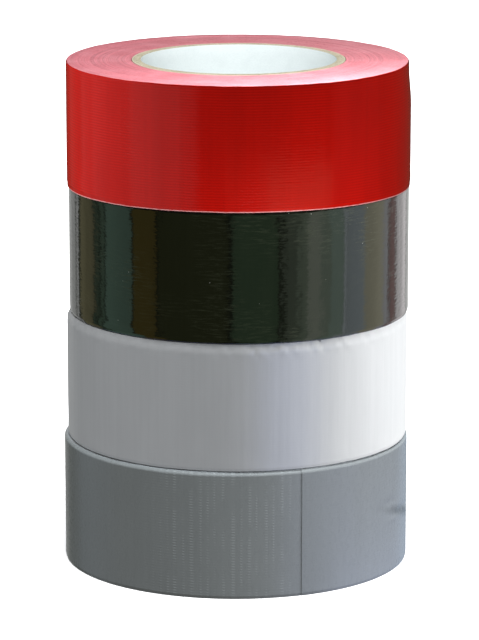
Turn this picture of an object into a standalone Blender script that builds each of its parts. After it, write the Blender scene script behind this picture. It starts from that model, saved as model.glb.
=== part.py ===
"""Four rolls of duct tape standing in one stack: red on black on white on grey.

Every roll is complete in itself: a spiral paperboard core of three plies, the wound tape on it,
and the free end of the tape, which peels off along a vertical line. The stack stands on the
origin, +Z is up, and -Y is the side where the grey roll's free end shows.
"""
import math
from typing import NamedTuple

import bmesh
import bpy

# Driving dimensions, in metres unless the name says degrees.
STACK_GAP = 0.0003
CORE_BORE_RADIUS = 0.0383
LINER_WALL = 0.0004
BOARD_WALL = 0.0021
WRAP_WALL = 0.0004
PLY_GAP = 0.00025
TAPE_THICKNESS = 0.0003
TAPE_END_GAP = 0.0003
TAPE_END_MARGIN = 0.0005
TAPE_END_DEGREES = 40.0
STEP_DEGREES = 0.35
FOOT_INSET = 0.0003
FOOT_HEIGHT = 0.0008

# How finely the round pieces are divided.
CORE_STEPS = 72
OPEN_STATIONS = 65
TAPE_END_STATIONS = 9
SHOULDER_POINTS = 4
SHARP_EDGE_DEGREES = 30.0


class Roll(NamedTuple):
    """What differs from one roll to the next."""
    name: str
    tape_width: float
    radius: float
    offset_x: float
    shoulder_inset: float
    shoulder_height: float
    free_end_degrees: float
    tape_colour: tuple
    tape_roughness: float


ROLLS = (
    Roll("grey", 0.0501, 0.0683, -0.00035, 0.0013, 0.0018, -68.0, (0.15, 0.17, 0.18), 0.38),
    Roll("white", 0.0496, 0.06735, 0.00035, 0.0010, 0.0018, 130.0, (0.72, 0.73, 0.75), 0.42),
    Roll("black", 0.0505, 0.06715, 0.0011, 0.0005, 0.0012, 62.0, (0.012, 0.013, 0.010), 0.22),
    Roll("red", 0.0482, 0.0677, 0.0009, 0.0006, 0.0015, 98.0, (0.40, 0.012, 0.008), 0.30),
)
LINER_COLOUR = (0.82, 0.84, 0.83)
BOARD_COLOUR = (0.50, 0.46, 0.34)
WRAP_COLOUR = (0.72, 0.70, 0.60)
PAPER_ROUGHNESS = 0.85


def clear_scene():
    for obj in list(bpy.data.objects):
        bpy.data.objects.remove(obj, do_unlink=True)


def make_material(name, colour, roughness):
    material = bpy.data.materials.new(name)
    material.use_nodes = True
    shader = material.node_tree.nodes["Principled BSDF"]
    shader.inputs["Base Color"].default_value = (*colour, 1.0)
    shader.inputs["Roughness"].default_value = roughness
    shader.inputs["Metallic"].default_value = 0.0
    return material


def add_object(name, mesh, material, parent):
    obj = bpy.data.objects.new(name, mesh)
    bpy.context.scene.collection.objects.link(obj)
    obj.data.materials.append(material)
    obj.parent = parent
    return obj


def shade_round(mesh):
    mesh.shade_smooth()
    mesh.set_sharp_from_angle(angle=math.radians(SHARP_EDGE_DEGREES))


def on_circle(radius, degrees, height):
    angle = math.radians(degrees)
    return (radius * math.cos(angle), radius * math.sin(angle), height)


def evenly(first, last, count):
    return [first + (last - first) * i / (count - 1) for i in range(count)]


def make_tube(name, inner_radius, outer_radius, width, material, parent):
    """A straight tube: its wall's outline turned about Z."""
    outline = (
        (outer_radius, 0.0, width),
        (outer_radius, 0.0, 0.0),
        (inner_radius, 0.0, 0.0),
        (inner_radius, 0.0, width),
    )
    mesh = bpy.data.meshes.new(name)
    mesh.from_pydata(outline, [(0, 1), (1, 2), (2, 3), (3, 0)], [])
    tube = add_object(name, mesh, material, parent)
    turn = tube.modifiers.new("Turn", "SCREW")
    turn.axis = "Z"
    turn.angle = math.tau
    turn.steps = CORE_STEPS
    turn.render_steps = CORE_STEPS
    turn.use_merge_vertices = True
    turn.merge_threshold = 0.00001
    turn.use_smooth_shade = True
    return tube


def make_loft(name, sections, closed):
    """A mesh skinned through equal-length sections; an open one is closed by its end faces."""
    shape = bmesh.new()
    rings = [[shape.verts.new(point) for point in section] for section in sections]
    pairs = list(zip(rings, rings[1:]))
    if closed:
        pairs.append((rings[-1], rings[0]))
    else:
        shape.faces.new(rings[0])
        shape.faces.new(rings[-1])
    for near, far in pairs:
        for i, corner in enumerate(near):
            after = (i + 1) % len(near)
            shape.faces.new((corner, near[after], far[after], far[i]))
    bmesh.ops.recalc_face_normals(shape, faces=shape.faces)
    mesh = bpy.data.meshes.new(name)
    shape.to_mesh(mesh)
    shape.free()
    shade_round(mesh)
    return mesh


def winding_section(roll, radius, degrees):
    """The wound tape cut by a plane through the axis, with its rounded foot and shoulder."""
    bore = CORE_BORE_RADIUS + LINER_WALL + BOARD_WALL + WRAP_WALL + 3.0 * PLY_GAP
    section = [on_circle(bore, degrees, 0.0)]
    for angle in evenly(0.0, math.pi / 2.0, SHOULDER_POINTS):
        inset = FOOT_INSET * (1.0 - math.sin(angle))
        height = FOOT_HEIGHT * (1.0 - math.cos(angle))
        section.append(on_circle(radius - inset, degrees, height))
    for angle in evenly(0.0, math.pi / 2.0, SHOULDER_POINTS):
        inset = roll.shoulder_inset * (1.0 - math.cos(angle))
        height = roll.tape_width - roll.shoulder_height * (1.0 - math.sin(angle))
        section.append(on_circle(radius - inset, degrees, height))
    section.append(on_circle(bore, degrees, roll.tape_width))
    return section


def turn_radius(roll, past_end):
    """Radius of the outermost turn, which falls by one thickness in each full turn."""
    return roll.radius - TAPE_THICKNESS * past_end / 360.0


def make_winding(roll, material, parent):
    """The wound pack, with a shallow bed under the free end of the tape."""
    stations = []
    for past_end in evenly(-STEP_DEGREES, TAPE_END_DEGREES + STEP_DEGREES, TAPE_END_STATIONS):
        bed = turn_radius(roll, past_end) - TAPE_THICKNESS - TAPE_END_GAP
        stations.append((past_end, bed))
    open_start = TAPE_END_DEGREES + 2.0 * STEP_DEGREES
    for past_end in evenly(open_start, 360.0 - 2.0 * STEP_DEGREES, OPEN_STATIONS):
        stations.append((past_end, turn_radius(roll, past_end)))
    sections = [
        winding_section(roll, radius, roll.free_end_degrees + past_end)
        for past_end, radius in stations
    ]
    name = f"{roll.name}_tape_winding"
    return add_object(name, make_loft(name, sections, closed=True), material, parent)


def make_tape_end(roll, material, parent):
    """The last stretch of tape, with its origin on the line where it leaves the pack."""
    root_radius = turn_radius(roll, TAPE_END_DEGREES) - TAPE_THICKNESS / 2.0
    root = on_circle(root_radius, roll.free_end_degrees + TAPE_END_DEGREES, 0.0)
    low = TAPE_END_MARGIN
    high = roll.tape_width - TAPE_END_MARGIN
    sections = []
    for past_end in evenly(0.0, TAPE_END_DEGREES, TAPE_END_STATIONS):
        outer = turn_radius(roll, past_end)
        inner = outer - TAPE_THICKNESS
        degrees = roll.free_end_degrees + past_end
        corners = ((inner, low), (outer, low), (outer, high), (inner, high))
        points = [on_circle(radius, degrees, height) for radius, height in corners]
        sections.append([(x - root[0], y - root[1], z) for x, y, z in points])
    name = f"{roll.name}_tape_end"
    tape_end = add_object(name, make_loft(name, sections, closed=False), material, parent)
    tape_end.location = root
    return tape_end


def make_core(roll, parent):
    """The three plies of the core, from the bore outwards."""
    plies = (
        ("core_liner", LINER_WALL, LINER_COLOUR),
        ("core_board", BOARD_WALL, BOARD_COLOUR),
        ("core_wrap", WRAP_WALL, WRAP_COLOUR),
    )
    inner = CORE_BORE_RADIUS
    for piece, wall, colour in plies:
        name = f"{roll.name}_{piece}"
        material = make_material(name, colour, PAPER_ROUGHNESS)
        make_tube(name, inner, inner + wall, roll.tape_width, material, parent)
        inner += wall + PLY_GAP


def make_roll(roll, base_height):
    """One complete roll, parented to an empty at the centre of its base."""
    base = bpy.data.objects.new(f"{roll.name}_base", None)
    bpy.context.scene.collection.objects.link(base)
    base.location = (roll.offset_x, 0.0, base_height)
    make_core(roll, base)
    for make_piece, piece in ((make_winding, "tape_winding"), (make_tape_end, "tape_end")):
        material = make_material(f"{roll.name}_{piece}", roll.tape_colour, roll.tape_roughness)
        make_piece(roll, material, base)


def main():
    clear_scene()
    base_height = 0.0
    for roll in ROLLS:
        make_roll(roll, base_height)
        base_height += roll.tape_width + STACK_GAP


main()
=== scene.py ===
"""Looks for the stack of four duct tape rolls: film, cut tape edges, paper cores, stage and light.

Everything is in metres in the row frame: +Z up, the camera on the -Y side.
"""
import math
from typing import NamedTuple

import bpy
import numpy as np
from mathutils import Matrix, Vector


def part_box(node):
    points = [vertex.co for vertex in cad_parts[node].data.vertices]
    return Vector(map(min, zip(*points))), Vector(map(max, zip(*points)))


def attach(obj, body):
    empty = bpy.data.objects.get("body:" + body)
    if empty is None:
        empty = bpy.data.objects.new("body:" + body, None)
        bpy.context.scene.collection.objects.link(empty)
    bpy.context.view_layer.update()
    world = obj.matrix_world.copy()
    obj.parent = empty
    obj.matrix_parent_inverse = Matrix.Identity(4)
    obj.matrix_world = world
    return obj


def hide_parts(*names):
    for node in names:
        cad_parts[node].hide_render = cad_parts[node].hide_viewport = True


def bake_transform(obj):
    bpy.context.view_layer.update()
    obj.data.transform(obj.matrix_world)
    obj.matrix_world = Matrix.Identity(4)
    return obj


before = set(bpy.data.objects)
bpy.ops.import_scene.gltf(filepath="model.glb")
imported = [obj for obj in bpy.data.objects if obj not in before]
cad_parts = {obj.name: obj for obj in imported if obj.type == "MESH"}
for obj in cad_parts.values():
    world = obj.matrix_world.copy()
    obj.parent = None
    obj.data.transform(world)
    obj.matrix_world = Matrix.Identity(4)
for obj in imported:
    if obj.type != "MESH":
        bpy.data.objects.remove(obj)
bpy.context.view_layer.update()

MM = 0.001
TURN = 0.28 * MM              # one turn of tape to the next
FILM = 0.24 * MM              # thickness of the tape itself
TAPE_END_DEGREES = 40.0       # arc of the free end, as in the solid that it stands for
RIDGE_PITCH = 1.05 * MM       # spacing of the cloth's lengthwise threads
ROWS_PER_RIDGE = 4
BACK_ROWS = 12                # rows on the sticky side, which is nearly plain
FILM_FOOT = -0.08 * MM        # height of the film's lower edge above the roll's base
FOOT_LEAN = 0.20 * MM
PRESS_FROM = 31.0 * MM        # height from which a pressed top leans in, and how fast
PRESS_RISE = 15.0 * MM
WALL_SLACK = 0.13 * MM        # room between the wound turns and a dent in the outermost one
PACK_GAP = 0.02 * MM          # room between the wound pack and what lies beside it
EDGE_ROUNDING = 0.15 * MM     # height over which the film's cut edges are rounded, and how far
EDGE_ROUNDING_DEPTH = 0.06 * MM
EDGE_WANDER = 0.05 * MM       # how far the film's edges stray up and down
EDGE_WANDER_LENGTH = 8.0 * MM
RING_SHARE = 0.82             # part of a ring's width that lies at the ring's own height
PLY_SHARE = 0.13              # part of the core's wall that the inner and the outer ply each take
PLY_GAP = 0.01 * MM
FILM_DEGREES_PER_COLUMN = 1.25
FACE_COLUMNS = 240
CORE_COLUMNS = 240
SHARP_DEGREES = 50.0          # two faces that meet at more than this have a sharp edge
THREAD_PITCH = RIDGE_PITCH / MM   # the same spacing in millimetres, as the materials measure
KNOT_PITCH = 3.2              # millimetres from one row of knots to the next
WEFT_PITCH = 2.3              # millimetres from one crosswise thread to the next, on the sticky side
LAP_PITCH = 0.130             # metres from one turn of the paper's lap line to the next
HALF_WIDTH = 25.0 * MM        # half of a tape's width: the lamps aim at the middle of a roll
FLOOR_REACH = 8.0
FLOOR_DROP = 0.2 * MM         # keeps the floor clear of the grey roll's underside
FLOOR_SUN_LEVEL = 8.0
FLOOR_SUN_DEGREES = 75.0      # how wide the sun is, which makes it soft
CAMERA_PLACE = (0.0012, -1.467, 0.423)
CAMERA_TILT = 12.615          # degrees below level
CAMERA_LENS = 213.2           # focal length, in millimetres
CAMERA_SENSOR = 36.0          # width, in millimetres
WORLD_SHADE = (0.30, 0.305, 0.31, 1.0)
WORLD_REFLECTED = (0.04, 0.05, 0.035, 1.0)


class Roll(NamedTuple):
    """What sets one roll's shape apart from the others."""
    name: str
    free_end: float           # direction of the tape's free end, in degrees from +X
    edge_drop: float          # how far the outermost turn's edge lies below the pack's top
    shoulder_width: float     # how far in from the rim the pack's top begins to fall
    lean: float               # how far the film leans in at its top edge
    lean_height: float        # height of film over which it leans
    ripple: float             # height of the waves in the film
    pucker: float             # height of the short waves along the film's top edge
    ridge: float              # height of the lengthwise threads under the film
    press: float              # how far the top is pressed in on the +X side
    hang: float               # how much lower the outermost turn hangs on the +X and -X sides
    turns_per_ring: int       # turns drawn as one ring on the cut faces
    seed: int


ROLLS = (
    Roll("grey", free_end=-68.0, edge_drop=0.3 * MM, shoulder_width=2.0 * MM, lean=1.3 * MM,
         lean_height=1.6 * MM, ripple=0.009 * MM, pucker=0.020 * MM, ridge=0.004 * MM,
         press=0.0, hang=0.0, turns_per_ring=2, seed=1),
    Roll("white", free_end=130.0, edge_drop=0.1 * MM, shoulder_width=2.0 * MM, lean=1.1 * MM,
         lean_height=4.5 * MM, ripple=0.030 * MM, pucker=0.240 * MM, ridge=0.003 * MM,
         press=0.0, hang=0.0, turns_per_ring=2, seed=2),
    Roll("black", free_end=62.0, edge_drop=0.1 * MM, shoulder_width=2.0 * MM, lean=0.4 * MM,
         lean_height=1.4 * MM, ripple=0.034 * MM, pucker=0.0, ridge=0.004 * MM,
         press=0.0, hang=0.0, turns_per_ring=2, seed=3),
    Roll("red", free_end=98.0, edge_drop=0.2 * MM, shoulder_width=3.0 * MM, lean=0.3 * MM,
         lean_height=1.0 * MM, ripple=0.016 * MM, pucker=0.0, ridge=0.010 * MM,
         press=0.9 * MM, hang=0.9 * MM, turns_per_ring=1, seed=4),
)


class Dent(NamedTuple):
    """A shallow dent or crease in the film, centred at a direction and a height."""
    degrees: float
    height: float
    reach_along: float
    reach_up: float
    depth: float


def wrinkles(count, degrees, step, height, fall):
    """A row of short upright wrinkles, each a step further round and a little lower."""
    return tuple(Dent(degrees + step * k, (height - fall * k) * MM, 0.55 * MM, 2.2 * MM, 0.07 * MM)
                 for k in range(count))


DENTS = {
    "grey": (
        Dent(-15.0, 23.0 * MM, 7.5 * MM, 1.6 * MM, 0.36 * MM),
        Dent(-28.0, 28.5 * MM, 5.5 * MM, 1.6 * MM, 0.20 * MM),
        Dent(-24.0, 21.0 * MM, 6.0 * MM, 1.2 * MM, -0.12 * MM),
        *wrinkles(10, -36.0, 2.1, 27.0, 0.45),
        Dent(-76.0, 31.0 * MM, 1.6 * MM, 1.2 * MM, 0.03 * MM),
        Dent(-72.0, 24.0 * MM, 1.2 * MM, 2.0 * MM, 0.02 * MM),
    ),
    "white": (
        Dent(-160.0, 26.0 * MM, 1.1 * MM, 30.0 * MM, 0.07 * MM),
        Dent(-166.0, 12.0 * MM, 1.6 * MM, 14.0 * MM, 0.05 * MM),
    ),
    "black": (
        Dent(-46.0, 13.0 * MM, 2.0 * MM, 1.6 * MM, 0.05 * MM),
        Dent(-84.0, 17.0 * MM, 0.5 * MM, 14.0 * MM, 0.02 * MM),
    ),
    "red": (
        Dent(-71.0, 27.0 * MM, 4.0 * MM, 1.6 * MM, 0.035 * MM),
        Dent(-66.0, 22.0 * MM, 3.0 * MM, 2.2 * MM, 0.040 * MM),
        Dent(-63.0, 15.0 * MM, 2.4 * MM, 2.6 * MM, 0.035 * MM),
    ),
}


class Sizes(NamedTuple):
    """One roll's place and radii, as its CAD nodes have them."""
    x: float
    base: float
    height: float
    bore: float
    core: float
    radius: float


def read_sizes(roll):
    low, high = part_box(f"{roll.name}_core_board")
    centre = (low.x + high.x) / 2.0

    def radii(part):
        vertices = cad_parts[f"{roll.name}_{part}"].data.vertices
        return [math.hypot(v.co.x - centre, v.co.y) for v in vertices]

    return Sizes(centre, low.z, high.z - low.z,
                 min(radii("core_liner")), max(radii("core_wrap")), max(radii("tape_end")))


# ---------------------------------------------------------------- shapes

def waves(values, seed):
    """Smooth one-dimensional noise of about unit height: nine sines that never repeat together."""
    total = np.zeros_like(values, dtype=float)
    for k in range(9):
        rate = 1.0 + 0.83 * k + 0.4 * math.sin(seed * 12.9 + k * 4.1)
        phase = math.tau * math.sin(seed * 78.2 + k * 37.7)
        total += np.sin(values * rate + phase) / (1.0 + 0.35 * k)
    return total / 2.4


def scatter(index, seed):
    """A fixed random number from -1 to 1 for every whole number."""
    wave = np.sin(index * 127.1 + seed * 311.7) * 43758.5453
    return 2.0 * (wave - np.floor(wave)) - 1.0


def smooth_step(value):
    value = np.clip(value, 0.0, 1.0)
    return value * value * (3.0 - 2.0 * value)


def turned(radius, degrees, height, size):
    """Grid of points from cylindrical ones about a roll's own axis and base."""
    angle = np.radians(degrees) + np.zeros_like(radius)
    x = size.x + radius * np.cos(angle)
    y = radius * np.sin(angle)
    return np.stack([x, y, size.base + height + np.zeros_like(radius)], axis=-1)


def grid_piece(name, points, materials, row_slots, closed, uv=None, cap_slot=0):
    """A closed body from a grid of points, whose rows run round its section and always close.

    points has the shape (rows, columns, 3). The columns close on themselves, or end in flat caps.
    """
    rows, columns = points.shape[:2]
    index = np.arange(rows * columns).reshape(rows, columns)
    if closed:
        near, far = index, np.roll(index, -1, axis=1)
    else:
        near, far = index[:, :-1], index[:, 1:]
    quads = np.stack([near, far, np.roll(far, -1, axis=0), np.roll(near, -1, axis=0)], axis=-1)
    caps = [] if closed else [index[:, 0], index[::-1, -1]]
    sizes = [4] * (quads.size // 4) + [rows] * len(caps)
    loops = np.concatenate([quads.reshape(-1)] + caps)
    slots = list(np.repeat(row_slots, quads.shape[1])) + [cap_slot] * len(caps)
    mesh = bpy.data.meshes.new(name)
    mesh.vertices.add(rows * columns)
    mesh.vertices.foreach_set("co", points.reshape(-1).astype(np.float32))
    mesh.loops.add(len(loops))
    mesh.loops.foreach_set("vertex_index", loops.astype(np.int32))
    mesh.polygons.add(len(sizes))
    mesh.polygons.foreach_set("loop_start", (np.cumsum(sizes) - sizes).astype(np.int32))
    mesh.polygons.foreach_set("material_index", np.asarray(slots, dtype=np.int32))
    for material in materials:
        mesh.materials.append(material)
    mesh.update(calc_edges=True)
    if uv is not None:
        layer = mesh.uv_layers.new(name="tape")
        layer.data.foreach_set("uv", uv.reshape(-1, 2)[loops].reshape(-1).astype(np.float32))
    mesh.shade_smooth()
    mesh.set_sharp_from_angle(angle=math.radians(SHARP_DEGREES))
    piece = bpy.data.objects.new(name, mesh)
    bpy.context.scene.collection.objects.link(piece)
    return piece


def film_radius(size, past_end):
    """Radius of the tape's outer face, past_end degrees back along it from the free end."""
    return size.radius - TURN * past_end / 360.0


def film_lean(roll, size, height, degrees):
    """How far the film leans in towards its top and bottom edges."""
    top = smooth_step((height - size.height + roll.lean_height) / roll.lean_height)
    foot = smooth_step(1.0 - height / (1.2 * MM))
    beside = np.clip(np.cos(np.radians(degrees)), 0.0, 1.0) ** 3
    pressed = roll.press * beside * smooth_step((height - PRESS_FROM) / PRESS_RISE)
    return roll.lean * top ** 1.5 + FOOT_LEAN * smooth_step(foot) + pressed


def film_relief(roll, size, arc, degrees, height):
    """The cloth's ridges under the film, the waves in it and its dents."""
    mm_along = arc / MM
    mm_up = height / MM
    ridge = np.sin(math.tau * height / RIDGE_PITCH + 0.8 * waves(mm_along / 30.0, roll.seed))
    ridge_height = roll.ridge * (1.0 + 0.5 * waves(mm_along / 6.0, roll.seed + 10))
    across = waves(mm_along / 2.6 + 0.25 * waves(mm_up / 9.0, roll.seed + 20), roll.seed + 30)
    broad = waves(mm_along / 24.0 + 0.5 * waves(mm_up / 20.0, roll.seed + 40), roll.seed + 50)
    below_top = (size.height - height) / MM
    near_top = smooth_step((7.0 - below_top) / 5.0)
    pucker = waves((mm_along - 0.5 * below_top) / 2.2, roll.seed + 70)
    relief = ridge_height * ridge + roll.ripple * (across + 3.0 * broad)
    relief = relief + roll.pucker * near_top * pucker
    for dent in DENTS[roll.name]:
        turn = (degrees - dent.degrees + 180.0) % 360.0 - 180.0
        beside = np.radians(turn) * size.radius / dent.reach_along
        above = (height - dent.height) / dent.reach_up
        relief = relief - dent.depth * np.exp(-beside ** 2 - above ** 2)
    return relief


def film_strip(name, roll, size, first, last, materials):
    """The tape itself between two places given in degrees back from the free end."""
    rows = int(round(size.height / RIDGE_PITCH * ROWS_PER_RIDGE))
    columns = int(round((last - first) / FILM_DEGREES_PER_COLUMN)) + 1
    past_end = np.linspace(first, last, columns)[None, :]
    degrees = roll.free_end + past_end
    arc = np.radians(past_end) * size.radius
    top = size.height - roll.edge_drop
    foot = FILM_FOOT - roll.hang * np.cos(np.radians(degrees)) ** 2
    up = np.concatenate([np.linspace(0.0, 1.0, rows), np.linspace(1.0, 0.0, BACK_ROWS)])[:, None]
    height = foot + (top - foot) * up
    relief = film_relief(roll, size, arc, degrees, height)
    radius = film_radius(size, past_end) - film_lean(roll, size, height, degrees) + relief
    edge = np.minimum(height - foot, top - height)[:rows] / EDGE_ROUNDING
    radius[:rows] -= EDGE_ROUNDING_DEPTH * (1.0 - smooth_step(edge))
    radius[rows:] -= FILM
    wander = EDGE_WANDER * waves(arc / EDGE_WANDER_LENGTH, roll.seed + 60)
    points = turned(radius, degrees, height + wander, size)
    row_slots = [0] * (rows - 1) + [1] + [2] * (BACK_ROWS - 1) + [1]
    uv = np.stack([(arc + 0.0 * radius) / MM, (height - foot) / MM], axis=-1)
    return grid_piece(name, points, materials, row_slots, closed=False, uv=uv, cap_slot=1)


def face_height(roll, size, depth, degrees, side):
    """Height lost on a cut face, depth in from the rim: the fall to the rim and the ring steps."""
    drop = roll.edge_drop if side > 0 else 0.05 * MM
    width = roll.shoulder_width if side > 0 else 1.0 * MM
    fall = np.clip(1.0 - depth / width, 0.0, 1.0)
    ring = np.floor(depth / (TURN * roll.turns_per_ring) + 0.25)
    steps = 0.045 * MM * scatter(ring, roll.seed + side)
    steps = steps + 0.060 * MM * waves(ring / 3.0, roll.seed + 2 * side)
    around = np.radians(degrees)
    drift = 0.035 * MM * np.sin(around * 2.0 + 2.0 * scatter(ring, roll.seed + 7))
    fade = smooth_step(depth / (1.0 * MM))
    return drop * fall ** 2 + (0.12 * MM + steps + drift) * fade


def wound_pack(name, roll, size, materials):
    """The wound turns under the outermost one: a ring whose two faces are cut tape edges."""
    degrees = np.arange(FACE_COLUMNS)[None, :] * 360.0 / FACE_COLUMNS
    past_end = (degrees - roll.free_end) % 360.0
    covered = np.where(past_end < TAPE_END_DEGREES, 2.0, 1.0)
    rim = film_radius(size, past_end) - covered * TURN - PACK_GAP
    bore = size.core + PACK_GAP
    pitch = TURN * roll.turns_per_ring
    rings = int((size.radius - 2.0 * TURN - bore) / pitch)
    depth_rows = np.repeat(np.arange(rings), 2) * pitch + np.tile([0.0, RING_SHARE * pitch], rings)
    depth = depth_rows[:, None] + 0.0 * degrees
    bend = smooth_step(1.0 - depth / (4.0 * TURN))
    radius = (size.radius - 2.0 * TURN) - depth
    radius = radius + bend * (rim - radius[:1])
    radius = np.maximum(radius, bore)
    lean = film_lean(roll, size, size.height - roll.edge_drop, degrees) * bend
    foot_lean = FOOT_LEAN * bend
    top_height = size.height - face_height(roll, size, depth, degrees, 1)
    low_height = face_height(roll, size, depth, degrees, -1)
    wall_height = np.linspace(0.0, 1.0, 8)[1:-1, None] * size.height + 0.0 * degrees
    wall_radius = rim - film_lean(roll, size, wall_height, degrees) - WALL_SLACK
    bore_height = np.linspace(1.0, 0.0, 6)[1:-1, None] * size.height + 0.0 * degrees
    radii = [wall_radius, radius - lean, bore + 0.0 * bore_height, (radius - foot_lean)[::-1]]
    heights = [wall_height, top_height, bore_height, low_height[::-1]]
    radius = np.vstack(radii)
    points = turned(radius, degrees, np.vstack(heights), size)
    walls = len(wall_height)
    faces = len(depth_rows)
    row_slots = [0] * walls + [1] * faces + [1] * len(bore_height) + [1] * faces
    return grid_piece(name, points, materials, row_slots, closed=True)


def rounded_section(inner, outer, top, soft):
    """Points (radius, height) round a tube's wall, with soft corners and straight runs between."""
    corners = ((outer - soft, top - soft, 7), (inner + soft, top - soft, 9),
               (inner + soft, soft, 4), (outer - soft, soft, 9))
    arcs = []
    for number, (radius, height, _) in enumerate(corners):
        sweep = np.radians(np.linspace(90.0 * number, 90.0 * number + 90.0, 4))
        arcs.append(np.stack([radius + soft * np.cos(sweep), height + soft * np.sin(sweep)], -1))
    section = []
    for number, arc in enumerate(arcs):
        run = np.linspace(arc[-1], arcs[(number + 1) % 4][0], corners[number][2] + 2)[1:-1]
        section += [arc, run]
    return np.vstack(section)


def core_ply(name, size, inner, outer, top, roughness, seed, materials):
    """One ply of the core: a tube with softened rims and an uneven cut edge."""
    degrees = np.arange(CORE_COLUMNS)[None, :] * 360.0 / CORE_COLUMNS
    soft = min(0.25 * (outer - inner), 0.15 * MM)
    section = rounded_section(inner, outer, top, soft)
    radius = section[:, :1] + 0.0 * degrees
    height = section[:, 1:] + 0.0 * degrees
    around = np.radians(degrees)
    rough = waves(around * 31.0 + radius / (0.4 * MM), seed) + 0.7 * waves(around * 7.0, seed + 1)
    near_rim = smooth_step((height - top + 3.0 * soft) / (3.0 * soft))
    height = height + roughness * near_rim * rough
    points = turned(radius, degrees, height, size)
    on_rim = section[:, 1] > top - 1.5 * soft
    row_slots = (on_rim & np.roll(on_rim, -1)).astype(int)
    return grid_piece(name, points, materials, row_slots, closed=True)


# ---------------------------------------------------------------- materials

class Nodes:
    """Short calls for building one material's node tree."""

    def __init__(self, name):
        self.material = bpy.data.materials.new(name)
        self.material.use_nodes = True
        self.tree = self.material.node_tree
        self.shader = self.tree.nodes["Principled BSDF"]

    def add(self, kind, inputs=None, **settings):
        """A new node with its settings and inputs; a socket given as an input is linked."""
        node = self.tree.nodes.new(kind)
        for key, value in settings.items():
            setattr(node, key, value)
        for key, value in (inputs or {}).items():
            self.put(node.inputs[key], value)
        return node

    def put(self, socket, value):
        if isinstance(value, bpy.types.NodeSocket):
            self.tree.links.new(value, socket)
        else:
            socket.default_value = value

    def math(self, operation, first, second=0.0, third=0.0):
        inputs = {0: first, 1: second, 2: third}
        return self.add("ShaderNodeMath", inputs, operation=operation).outputs[0]

    def noise(self, vector, scale, detail=3.0, roughness=0.55):
        inputs = {"Vector": vector, "Scale": scale, "Detail": detail, "Roughness": roughness}
        return self.add("ShaderNodeTexNoise", inputs).outputs["Fac"]

    def steps(self, value, low, high, start=0.0, end=1.0):
        """value carried from low..high to start..end, smoothly and held at both ends."""
        inputs = {"Value": value, "From Min": low, "From Max": high, "To Min": start, "To Max": end}
        return self.add("ShaderNodeMapRange", inputs, interpolation_type="SMOOTHSTEP").outputs["Result"]

    def mix(self, amount, first, second):
        node = self.add("ShaderNodeMix", data_type="RGBA")
        self.put(node.inputs["Factor"], amount)
        self.put(node.inputs["A"], first)
        self.put(node.inputs["B"], second)
        return node.outputs["Result"]

    def stretch(self, vector, x, y, z=1.0):
        inputs = {"Vector": vector, "Scale": (x, y, z)}
        return self.add("ShaderNodeMapping", inputs).outputs["Vector"]

    def bump(self, height, distance, strength=1.0):
        inputs = {"Height": height, "Distance": distance, "Strength": strength}
        return self.add("ShaderNodeBump", inputs).outputs["Normal"]

    def finish(self, colour, roughness, normal=None, **constants):
        """Joins the shader up; constants are numbers set on its own sockets."""
        self.put(self.shader.inputs["Base Color"], colour)
        self.put(self.shader.inputs["Roughness"], roughness)
        if normal is not None:
            self.put(self.shader.inputs["Normal"], normal)
        for key, value in constants.items():
            self.shader.inputs[key.replace("_", " ")].default_value = value
        return self.material


def srgb(red, green, blue):
    """A colour given as it is seen, 0 to 255, as the linear values that shaders take."""
    def linear(value):
        value /= 255.0
        return value / 12.92 if value <= 0.04045 else ((value + 0.055) / 1.055) ** 2.4
    return (linear(red), linear(green), linear(blue), 1.0)


def scaled(colour, amount):
    return tuple(min(1.0, channel * amount) for channel in colour[:3]) + (1.0,)


class CreaseShade(NamedTuple):
    """Shade painted into a crease in the film: its middle and reaches, in millimetres, and its slope."""
    along: float
    across: float
    reach_along: float
    reach_across: float
    slope: float


class Film(NamedTuple):
    """The look of one roll's tape. Patterns are in millimetres along and across the tape."""
    colour: tuple
    painted_foot_colour: tuple        # colour painted along its lower edge: a highlight on red, partly its pale adhesive edge; contact shade on white; a bluish line on black; a darker line on grey
    painted_foot_width: float          # how wide that painted line is
    roughness: float
    gloss_spread: float       # how much the roughness varies
    index: float              # index of refraction of its surface
    thread: float             # relief of the lengthwise threads
    knot: float               # relief of the rows of knots
    grain: float              # relief of the streaks
    grain_along: float        # streaks in a millimetre along the tape, and across it
    grain_across: float
    thread_tint_and_highlight: float        # how much paler the threads are, partly their own tint and partly a painted highlight on their ridges, and how much paler the knots are
    knot_tone: float
    knots: tuple              # first and last place along the tape where the knots show
    mottle: float
    specks: float             # how white the dust on it is
    scuffs: float             # how strongly it is rubbed along the tape
    # painted shade in a crease of the film, where there is one
    crease_shade: CreaseShade = None


def knot_rows(n, film, tape, along, warp):
    """Rows of knots across the tape, which show in blots, mostly between two places along it."""
    spacing = n.noise(n.stretch(tape, 0.12, 0.004), 1.0, 2.0)
    weft_phase = n.math("MULTIPLY_ADD", along, math.tau / KNOT_PITCH, n.math("MULTIPLY", spacing, 9.0))
    weft = n.math("POWER", n.steps(n.math("SINE", weft_phase), -1.0, 1.0), 7.0)
    first, last = film.knots
    begins = n.steps(along, first - 8.0, first + 8.0)
    ends = n.steps(along, last - 4.0, last + 4.0, 1.0, 0.0)
    shown = n.math("MULTIPLY_ADD", n.math("MULTIPLY", begins, ends), 0.85, 0.15)
    blots = n.steps(n.noise(n.stretch(tape, 0.10, 0.07), 1.0, 3.0), 0.38, 0.58)
    shown = n.math("MULTIPLY", shown, blots)
    return n.math("MULTIPLY", n.math("MULTIPLY", weft, n.math("POWER", warp, 1.5)), shown)


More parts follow.
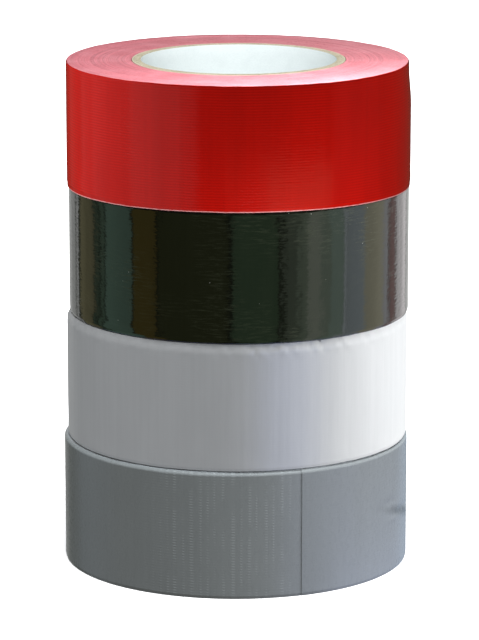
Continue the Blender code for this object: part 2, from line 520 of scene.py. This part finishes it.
def painted_crease_shade(n, crease_shade, tape, along, across):
    """How much shade is painted into a crease: strongest along its sloping middle, and broken into short
    ticks.
    """
    past_middle = n.math("SUBTRACT", along, crease_shade.along)
    beside = n.math("DIVIDE", past_middle, crease_shade.reach_along)
    level = n.math("MULTIPLY_ADD", past_middle, crease_shade.slope, crease_shade.across)
    above = n.math("DIVIDE", n.math("SUBTRACT", across, level), crease_shade.reach_across)
    offset = n.add("ShaderNodeCombineXYZ", {"X": beside, "Y": above}).outputs["Vector"]
    reach = n.add("ShaderNodeVectorMath", {0: offset}, operation="LENGTH").outputs["Value"]
    ticks = n.steps(n.noise(n.stretch(tape, 1.5, 0.2), 1.0, 2.0), 0.35, 0.65, 0.40, 0.90)
    return n.math("MULTIPLY", n.steps(reach, 0.0, 1.0, 1.0, 0.0), ticks)


def film_material(name, film):
    """Plastic film over cloth, whose threads show through it here and there, with painted highlights on
    the thread ridges, a painted line along its lower edge and painted shade in a crease.
    """
    n = Nodes(name)
    tape = n.add("ShaderNodeUVMap", uv_map="tape").outputs["UV"]
    axes = n.add("ShaderNodeSeparateXYZ", {0: tape})
    along, across = axes.outputs["X"], axes.outputs["Y"]
    drift = n.noise(n.stretch(tape, 0.05, 0.05), 1.0, 2.0)
    patches = n.steps(n.noise(n.stretch(tape, 0.045, 0.03), 1.0, 3.0), 0.35, 0.65, 0.35, 1.0)
    warp_phase = n.math("MULTIPLY_ADD", across, math.tau / THREAD_PITCH, drift)
    warp = n.steps(n.math("SINE", warp_phase), -1.0, 1.0)
    threads = n.math("MULTIPLY", warp, patches)
    knots = knot_rows(n, film, tape, along, warp)
    grain = n.noise(n.stretch(tape, film.grain_along, film.grain_across), 1.0, 1.5)
    fine = n.noise(n.stretch(tape, 4.0, 4.0), 1.0, 3.0)
    height = n.math("MULTIPLY", threads, film.thread)
    height = n.math("MULTIPLY_ADD", knots, film.knot, height)
    height = n.math("MULTIPLY_ADD", grain, film.grain, height)
    height = n.math("MULTIPLY_ADD", fine, 0.10, height)

    tone = n.noise(n.stretch(tape, 0.09, 0.03), 1.0, 4.0)
    streaks = n.noise(n.stretch(tape, 0.55, 0.012), 1.0, 3.0)
    tone = n.math("ADD", n.math("MULTIPLY", tone, 0.5), n.math("MULTIPLY", streaks, 0.5))
    dark, pale = scaled(film.colour, 1.0 - film.mottle), scaled(film.colour, 1.0 + film.mottle)
    shade = n.mix(n.steps(tone, 0.38, 0.62), dark, pale)
    # Paler threads: partly their own tint through the film, partly a painted highlight on the ridges.
    shade = n.mix(n.math("MULTIPLY", threads, film.thread_tint_and_highlight), shade, scaled(film.colour, 1.6))
    shade = n.mix(n.math("MULTIPLY", knots, film.knot_tone), shade, scaled(film.colour, 1.9))
    # A line painted along the film's lower edge: a painted highlight on red, partly its pale adhesive
    # edge; painted contact shade on white, where it sits on the grey roll; a bluish line on black and a
    # darker line on grey.
    edge_noise = n.noise(n.stretch(tape, 0.4, 0.8), 1.0, 3.0)
    line = n.steps(across, 0.5 * film.painted_foot_width, film.painted_foot_width, 1.0, 0.0)
    line = n.math("MULTIPLY", line, n.steps(edge_noise, 0.30, 0.55, 0.45, 1.0))
    shade = n.mix(line, shade, film.painted_foot_colour)
    if film.specks:
        cells = n.add("ShaderNodeTexVoronoi", {"Vector": n.stretch(tape, 0.17, 0.17), "Scale": 1.0})
        dust = n.steps(cells.outputs["Distance"], 0.015, 0.035, film.specks, 0.0)
        shade = n.mix(dust, shade, srgb(225, 225, 215))
    rubbed = n.noise(n.stretch(tape, 0.16, 1.3), 1.0, 4.0, 0.7)
    region = n.steps(n.noise(n.stretch(tape, 0.035, 0.03), 1.0, 2.0), 0.42, 0.62)
    rubbed = n.math("MULTIPLY", n.steps(rubbed, 0.47, 0.68), region)
    scuffs = n.math("MULTIPLY", rubbed, film.scuffs)
    shade = n.mix(scuffs, shade, scaled(film.colour, 7.0))
    # Painted shade in the grey film's crease, standing in for the dark surroundings that it reflects.
    if film.crease_shade:
        crease = painted_crease_shade(n, film.crease_shade, tape, along, across)
        shade = n.mix(crease, shade, scaled(film.colour, 0.22))
    cloudy = n.noise(n.stretch(tape, 0.5, 0.25), 1.0, 4.0)
    least_rough = film.roughness - 0.5 * film.gloss_spread
    gloss = n.math("MULTIPLY_ADD", cloudy, film.gloss_spread, least_rough)
    gloss = n.math("MULTIPLY_ADD", scuffs, 0.25, gloss)
    return n.finish(shade, gloss, n.bump(height, 0.010 * MM), IOR=film.index)


def cut_edge_material(name, colour, pale, dark, band):
    """Hundreds of cut tape edges: fine rings of film, cloth and adhesive, with a mottle."""
    n = Nodes(name)
    place = n.add("ShaderNodeTexCoord").outputs["Object"]
    flat = n.stretch(place, 1.0, 1.0, 0.0)
    radius = n.add("ShaderNodeVectorMath", {0: flat}, operation="LENGTH").outputs["Value"]
    wobble = n.noise(place, 60.0, 3.0)
    rings = n.math("MULTIPLY_ADD", wobble, 0.0006, radius)
    line = n.add("ShaderNodeCombineXYZ", {"X": rings}).outputs["Vector"]
    fine = n.noise(line, 3200.0, 2.0, 0.7)
    broad = n.noise(line, 520.0, 3.0, 0.6)
    mottle = n.noise(place, 900.0, 4.0, 0.7)
    cloudy = n.noise(place, 75.0, 3.0)
    shade = n.mix(n.steps(broad, 0.38, 0.62), colour, scaled(colour, 1.0 + band))
    shade = n.mix(n.math("MULTIPLY", n.steps(fine, 0.45, 0.7), 0.45), shade, pale)
    shade = n.mix(n.math("MULTIPLY", n.steps(mottle, 0.5, 0.72), 0.5), shade, dark)
    shade = n.mix(n.math("MULTIPLY", n.steps(cloudy, 0.4, 0.7), 0.25), shade, pale)
    relief = n.math("ADD", n.math("MULTIPLY", fine, 0.6), n.math("MULTIPLY", mottle, 0.8))
    rough = n.math("MULTIPLY_ADD", mottle, 0.2, 0.5)
    return n.finish(shade, rough, n.bump(relief, 0.03 * MM), IOR=1.45)


def adhesive_material(name, colour):
    """The sticky side of the tape: cloth threads standing out of pale adhesive."""
    n = Nodes(name)
    tape = n.add("ShaderNodeUVMap", uv_map="tape").outputs["UV"]
    axes = n.add("ShaderNodeSeparateXYZ", {0: tape})
    warp = n.math("SINE", n.math("MULTIPLY", axes.outputs["Y"], math.tau / THREAD_PITCH))
    weft = n.math("SINE", n.math("MULTIPLY", axes.outputs["X"], math.tau / WEFT_PITCH))
    threads = n.math("MAXIMUM", n.steps(warp, 0.1, 0.9), n.steps(weft, 0.55, 0.95))
    tack = n.noise(n.stretch(tape, 0.7, 0.7), 1.0, 4.0)
    shade = n.mix(threads, scaled(colour, 0.78), colour)
    shade = n.mix(n.steps(tack, 0.45, 0.75), shade, scaled(colour, 0.88))
    relief = n.math("ADD", threads, n.math("MULTIPLY", tack, 0.7))
    rough = n.math("MULTIPLY_ADD", tack, 0.25, 0.3)
    return n.finish(shade, rough, n.bump(relief, 0.06 * MM), IOR=1.47)


def paper_material(name, colour, dark, fibre, lap=0.0):
    """Rolled paper: fibres that run round the core, faint blotches and a helical lap line."""
    n = Nodes(name)
    place = n.add("ShaderNodeTexCoord").outputs["Object"]
    fibres = n.noise(n.stretch(place, 1.0, 1.0, 2.5), 1400.0, 5.0, 0.7)
    blotch = n.noise(place, 110.0, 3.0)
    shade = n.mix(n.math("MULTIPLY", n.steps(fibres, 0.42, 0.72), fibre), colour, dark)
    shade = n.mix(n.math("MULTIPLY", n.steps(blotch, 0.45, 0.7), 0.5 * fibre), shade, dark)
    relief = n.math("ADD", fibres, n.math("MULTIPLY", blotch, 0.5))
    if lap:
        axes = n.add("ShaderNodeSeparateXYZ", {0: place})
        angle = n.math("ARCTAN2", axes.outputs["Y"], axes.outputs["X"])
        around = n.math("DIVIDE", angle, math.tau)
        turns = n.math("MULTIPLY_ADD", axes.outputs["Z"], 1.0 / lap, around)
        seam = n.math("PINGPONG", n.math("FRACT", turns), 0.5)
        groove = n.steps(seam, 0.0, 0.006, 1.0, 0.0)
        shade = n.mix(n.math("MULTIPLY", groove, 0.5), shade, dark)
        relief = n.math("SUBTRACT", relief, n.math("MULTIPLY", groove, 2.0))
    rough = n.math("MULTIPLY_ADD", fibres, 0.15, 0.72)
    return n.finish(shade, rough, n.bump(relief, 0.03 * MM), IOR=1.4)


FILMS = {
    "grey": Film(
        colour=srgb(136, 139, 137), painted_foot_colour=srgb(120, 124, 126), painted_foot_width=0.25,
        roughness=0.28, gloss_spread=0.12, index=1.45, thread=0.30, knot=3.2, grain=0.5,
        grain_along=0.8, grain_across=0.25, thread_tint_and_highlight=0.05, knot_tone=0.34,
        knots=(372.0, 425.0), mottle=0.022, specks=0.0, scuffs=0.0,
        # painted shade in the crease
        crease_shade=CreaseShade(68.0, 20.4, 36.0, 3.4, -0.26)),
    "white": Film(
        colour=srgb(226, 228, 230), painted_foot_colour=srgb(180, 182, 186), painted_foot_width=0.25,
        roughness=0.34, gloss_spread=0.12, index=1.45, thread=0.25, knot=0.5, grain=2.2,
        grain_along=0.9, grain_across=0.08, thread_tint_and_highlight=0.01, knot_tone=0.03,
        knots=(0.0, 20.0), mottle=0.020, specks=0.0, scuffs=0.0),
    "black": Film(
        colour=srgb(17, 18, 12), painted_foot_colour=srgb(60, 62, 92), painted_foot_width=0.35,
        roughness=0.09, gloss_spread=0.07, index=1.5, thread=0.8, knot=0.3, grain=8.0,
        grain_along=0.22, grain_across=1.0, thread_tint_and_highlight=0.20, knot_tone=0.0,
        knots=(0.0, 20.0), mottle=0.20, specks=0.95, scuffs=0.75),
    "red": Film(
        colour=srgb(176, 13, 6), painted_foot_colour=srgb(230, 160, 160), painted_foot_width=0.45,
        roughness=0.13, gloss_spread=0.08, index=1.36, thread=2.4, knot=0.4, grain=4.0,
        grain_along=0.22, grain_across=0.9, thread_tint_and_highlight=0.36, knot_tone=0.10,
        knots=(0.0, 20.0), mottle=0.04, specks=0.0, scuffs=0.0),
}
# The cut edges' colour, their pale rings and dark specks, and how much the broad rings differ.
CUT_EDGES = {
    "grey": (srgb(160, 164, 166), srgb(196, 198, 198), srgb(110, 112, 112), 0.10),
    "white": (srgb(226, 226, 222), srgb(242, 242, 238), srgb(188, 188, 182), 0.05),
    "black": (srgb(92, 92, 88), srgb(150, 150, 144), srgb(42, 42, 40), 0.15),
    "red": (srgb(174, 100, 108), srgb(212, 152, 160), srgb(138, 60, 72), 0.28),
}
ADHESIVES = {
    "grey": srgb(196, 196, 190),
    "white": srgb(224, 222, 214),
    "black": srgb(150, 150, 144),
    "red": srgb(226, 168, 170),
}


def build_materials():
    """Every material, by name."""
    film = {name: film_material(f"{name}_film", look) for name, look in FILMS.items()}
    edges = {name: cut_edge_material(f"{name}_cut_edges", *look) for name, look in CUT_EDGES.items()}
    sticky = {name: adhesive_material(f"{name}_adhesive", tone) for name, tone in ADHESIVES.items()}
    paper = {
        "liner": paper_material("liner_paper", srgb(236, 243, 242), srgb(212, 220, 220), 0.35, LAP_PITCH),
        "board": paper_material("core_board_paper", srgb(200, 192, 168), srgb(142, 132, 104), 0.8),
        "wrap": paper_material("wrap_paper", srgb(214, 208, 184), srgb(180, 172, 146), 0.5),
    }
    return film, edges, sticky, paper


# ---------------------------------------------------------------- one roll

def dress_roll(roll, film, edges, sticky, paper):
    """All visible pieces of one roll, in place of its plain CAD nodes."""
    size = read_sizes(roll)
    body, end_body = f"{roll.name}_roll", f"{roll.name}_tape_end"
    skins = [film[roll.name], edges[roll.name], sticky[roll.name]]

    pack = wound_pack(f"{roll.name}_wound_pack", roll, size, skins[:2])
    turn = film_strip(f"{roll.name}_outer_turn", roll, size, TAPE_END_DEGREES,
                      TAPE_END_DEGREES + 360.0, skins)
    tab = film_strip(f"{roll.name}_free_end", roll, size, 0.0, TAPE_END_DEGREES, skins)
    for piece in (pack, turn):
        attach(piece, body)
    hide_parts(f"{roll.name}_tape_winding")
    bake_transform(tab)
    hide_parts(f"{roll.name}_tape_end")

    wall = size.core - size.bore
    liner_out = size.bore + PLY_SHARE * wall
    board_out = size.core - PLY_SHARE * wall
    plies = (
        ("core_liner", size.bore, liner_out, 0.02 * MM, "liner"),
        ("core_board", liner_out + PLY_GAP, board_out, 0.05 * MM, "board"),
        ("core_wrap", board_out + PLY_GAP, size.core, 0.03 * MM, "wrap"),
    )
    made = [pack, turn, tab]
    for part, inner, outer, rough, skin in plies:
        rim = paper["wrap" if skin == "wrap" else "board"]
        ply = core_ply(f"{roll.name}_{skin}_ply", size, inner, outer, size.height, rough,
                       roll.seed, [paper[skin], rim])
        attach(ply, body)
        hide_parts(f"{roll.name}_{part}")
        made.append(ply)
    return made


# ---------------------------------------------------------------- stage, light and camera

def facing(azimuth, elevation, distance, target_height):
    """Place and turn of something that looks at the stack's axis. Azimuth 0 is the camera's side."""
    across, up = math.radians(azimuth), math.radians(elevation)
    x = distance * math.cos(up) * math.sin(across)
    y = -distance * math.cos(up) * math.cos(across)
    z = target_height + distance * math.sin(up)
    return (x, y, z), (math.pi / 2.0 - up, 0.0, across)


def add_lamp(name, azimuth, elevation, distance, width, height, energy, colour, receivers,
             target_height):
    """A soft rectangular lamp turned to the stack's axis, which lights only its receivers."""
    light = bpy.data.lights.new(name, "AREA")
    light.shape = "RECTANGLE"
    light.size = width
    light.size_y = height
    light.energy = energy
    light.color = colour
    lamp = bpy.data.objects.new(name, light)
    lamp.location, lamp.rotation_euler = facing(azimuth, elevation, distance, target_height)
    lamp.visible_camera = False
    bpy.context.scene.collection.objects.link(lamp)
    lamp.light_linking.receiver_collection = receivers
    return lamp


def receiver_group(name, pieces):
    group = bpy.data.collections.new(name)
    for piece in pieces:
        group.objects.link(piece)
    return group


class Key(NamedTuple):
    """A soft lamp. Level 1 lights a white surface that faces it to full white."""
    azimuth: float
    elevation: float
    level: float
    colour: tuple
    distance: float = 1.6
    size: float = 1.3


def add_keys(name, keys, receivers, target_height):
    """Lamps that give shading and no highlights."""
    for number, key in enumerate(keys):
        energy = key.level * (math.pi * key.distance) ** 2
        lamp = add_lamp(f"{name}_key_{number}", key.azimuth, key.elevation, key.distance,
                        key.size, key.size, energy, key.colour, receivers, target_height)
        lamp.visible_glossy = False


class Card(NamedTuple):
    """An upright card between two azimuths, which shows only as a reflection."""
    first: float
    last: float
    level: float
    colour: tuple = (1.0, 1.0, 1.0)
    low: float = -1.35
    high: float = 0.85
    distance: float = 1.5


def add_cards(name, cards, receivers):
    """Cards that give reflections and no shading."""
    for number, card in enumerate(cards):
        width = 2.0 * card.distance * math.tan(math.radians(card.last - card.first) / 2.0)
        height = card.high - card.low
        energy = card.level * math.pi * width * height
        lamp = add_lamp(f"{name}_card_{number}", (card.first + card.last) / 2.0, 0.0,
                        card.distance, width, height, energy, card.colour, receivers,
                        (card.low + card.high) / 2.0)
        lamp.visible_diffuse = False


NEUTRAL = (1.0, 1.0, 1.0)
COOL = (0.86, 0.92, 1.0)
BLUISH = (0.62, 0.78, 1.0)
VIOLET = (0.50, 0.58, 1.0)
WARM = (1.0, 0.80, 0.55)
FILM_KEYS = {
    "grey": (Key(80.0, 10.0, 0.66, (0.88, 0.90, 1.0)), Key(68.0, -28.0, 0.20, VIOLET, 0.14, 0.06),
             Key(60.0, 84.0, 3.0, COOL)),
    "white": (Key(97.0, 8.0, 1.20, NEUTRAL), Key(20.0, 84.0, 0.5, NEUTRAL)),
    "black": (Key(72.0, 10.0, 0.64, NEUTRAL),),
    "red": (Key(-87.0, 20.0, 1.03, NEUTRAL, 0.5, 0.4), Key(88.0, 5.0, 0.47, NEUTRAL),
            Key(18.0, -33.0, 0.37, NEUTRAL, 0.14, 0.08)),
}
FACE_KEYS = {
    "grey": (Key(60.0, 35.0, 3.4, COOL), Key(0.0, 80.0, 0.80, NEUTRAL)),
    "white": (Key(60.0, 35.0, 0.45, COOL), Key(0.0, 80.0, 0.10, NEUTRAL)),
    "black": (Key(60.0, 35.0, 0.05, NEUTRAL),),
    "red": (Key(40.0, 35.0, 0.80, NEUTRAL), Key(38.0, 25.0, 2.2, NEUTRAL, 0.15, 0.06),
            Key(-8.0, 25.0, 0.80, NEUTRAL, 0.15, 0.06), Key(-80.0, 25.0, 0.55, NEUTRAL, 0.2, 0.08)),
}
CORE_KEYS = (Key(-8.0, 44.0, 1.05, (0.97, 0.98, 1.0), 0.8, 0.5), Key(70.0, 60.0, 0.45, NEUTRAL))
CARDS = {
    "grey": (
        Card(-180.0, -152.0, 0.4),
        Card(-128.0, -90.0, 0.25, BLUISH),
        Card(30.0, 85.0, 0.7, VIOLET),
        Card(85.0, 140.0, 0.25, COOL),
        Card(140.0, 165.0, 0.6, BLUISH),
    ),
    "white": (
        Card(-180.0, -140.0, 0.4),
        Card(17.0, 56.0, 1.5, (0.16, 0.32, 1.0)),
        Card(66.0, 180.0, 0.6),
    ),
    "black": (
        Card(-180.0, -143.0, 0.50),
        Card(-141.0, -137.0, 0.75),
        Card(-133.0, -113.0, 0.36, (1.0, 0.90, 0.5)),
        Card(-112.0, -109.0, 0.20, (0.6, 1.0, 0.7)),
        Card(-107.0, -103.0, 0.36, (0.6, 1.0, 0.7)),
        Card(-101.0, -76.0, 0.62, (0.60, 1.0, 0.78)),
        Card(-74.0, -56.0, 0.34, (1.0, 0.72, 0.12)),
        Card(-54.0, -8.0, 0.12, (0.9, 1.0, 0.3)),
        Card(-4.0, 27.0, 0.36, (0.55, 1.0, 0.55)),
        Card(29.5, 40.0, 0.46, (0.8, 1.0, 0.75)),
        Card(40.0, 46.5, 0.85, (0.8, 1.0, 0.75)),
        Card(46.5, 56.0, 1.35, (0.9, 1.0, 0.82)),
        Card(56.0, 62.5, 1.05, (0.8, 1.0, 0.80)),
        Card(62.5, 72.0, 1.30, (0.75, 1.0, 0.85)),
        Card(72.5, 75.5, 2.20, (0.85, 0.95, 1.0)),
        Card(76.0, 92.0, 1.50, (0.82, 0.94, 1.0)),
        Card(92.0, 112.0, 1.45, (1.0, 0.96, 0.72)),
        Card(112.0, 120.0, 1.30, (0.95, 0.95, 1.0)),
        Card(121.0, 129.0, 0.65, (1.0, 0.60, 0.60)),
        Card(130.0, 152.0, 1.45, (1.0, 0.95, 0.97)),
        Card(153.0, 180.0, 0.75),
    ),
    "red": (
        Card(-150.0, -128.0, 0.06),
        Card(-128.0, -112.0, 0.20),
        Card(-112.0, -75.0, 0.35),
        Card(-75.0, -52.0, 0.58),
        Card(-52.0, -38.0, 0.48),
        Card(-38.0, -32.0, 0.30),
        Card(-32.0, -28.0, 0.15),
        Card(-34.0, -25.0, 0.22, NEUTRAL, -1.35, -0.168),
        Card(15.0, 49.0, 0.34, WARM, 0.090, 0.154, 0.126),
        Card(10.0, 44.0, 0.16, WARM, 0.090, 0.161, 0.128),
        Card(-6.0, 54.0, 0.10, WARM, 0.090, 0.157, 0.130),
    ),
}
FACE_CARDS = {"red": (Card(155.0, 185.0, 2.5, NEUTRAL, 0.215, 0.245, 0.22),)}


def build_lights(pieces, floor):
    """Each roll has its own keys and cards, as if each had been lit for itself."""
    for name, made in pieces.items():
        pack, turn, tab = made[:3]
        target = turn.data.vertices[0].co.z + HALF_WIDTH
        films = receiver_group(f"{name}_film_lit", (turn, tab))
        add_keys(f"{name}_film", FILM_KEYS[name], films, target)
        add_cards(name, CARDS[name], films)
        faces = receiver_group(f"{name}_face_lit", (pack,))
        add_keys(f"{name}_face", FACE_KEYS[name], faces, target)
        add_cards(f"{name}_face", FACE_CARDS.get(name, ()), faces)
        add_keys(f"{name}_core", CORE_KEYS, receiver_group(f"{name}_core_lit", made[3:]), target)
    sun = bpy.data.lights.new("floor_sun", "SUN")
    sun.energy = FLOOR_SUN_LEVEL
    sun.angle = math.radians(FLOOR_SUN_DEGREES)
    lamp = bpy.data.objects.new("floor_sun", sun)
    lamp.location, lamp.rotation_euler = facing(30.0, 65.0, 3.0, 0.0)
    bpy.context.scene.collection.objects.link(lamp)
    lamp.light_linking.receiver_collection = receiver_group("floor_lit", (floor,))


def build_world():
    world = bpy.data.worlds.new("studio")
    world.use_nodes = True
    tree = world.node_tree
    path = tree.nodes.new("ShaderNodeLightPath")
    background = tree.nodes["Background"]
    level = tree.nodes.new("ShaderNodeMix")
    level.data_type = "RGBA"
    tree.links.new(path.outputs["Is Glossy Ray"], level.inputs["Factor"])
    level.inputs["A"].default_value = WORLD_SHADE
    level.inputs["B"].default_value = WORLD_REFLECTED
    tree.links.new(level.outputs["Result"], background.inputs["Color"])
    bpy.context.scene.world = world


def build_floor():
    n = Nodes("floor_paper")
    place = n.add("ShaderNodeTexCoord").outputs["Object"]
    tone = n.noise(place, 3.0, 2.0)
    shade = n.mix(tone, srgb(250, 250, 250), srgb(246, 246, 247))
    material = n.finish(shade, 0.9, IOR=1.3)
    mesh = bpy.data.meshes.new("floor")
    quarters = ((-1.0, -1.0), (1.0, -1.0), (1.0, 1.0), (-1.0, 1.0))
    corners = [(FLOOR_REACH * x, FLOOR_REACH * y, -FLOOR_DROP) for x, y in quarters]
    mesh.from_pydata(corners, [], [(0, 1, 2, 3)])
    mesh.materials.append(material)
    floor = bpy.data.objects.new("floor", mesh)
    bpy.context.scene.collection.objects.link(floor)
    floor.visible_glossy = False
    floor.visible_diffuse = False
    floor.visible_shadow = False
    return floor


def build_camera():
    camera = bpy.data.cameras.new("camera")
    camera.sensor_width = CAMERA_SENSOR
    camera.lens = CAMERA_LENS
    view = bpy.data.objects.new("camera", camera)
    view.location = CAMERA_PLACE
    view.rotation_euler = (math.radians(90.0 - CAMERA_TILT), 0.0, 0.0)
    bpy.context.scene.collection.objects.link(view)
    bpy.context.scene.camera = view


def main():
    build_camera()
    build_world()
    bpy.context.scene.view_settings.view_transform = "Standard"
    films, edges, sticky, paper = build_materials()
    pieces = {roll.name: dress_roll(roll, films, edges, sticky, paper) for roll in ROLLS}
    build_lights(pieces, build_floor())


main()
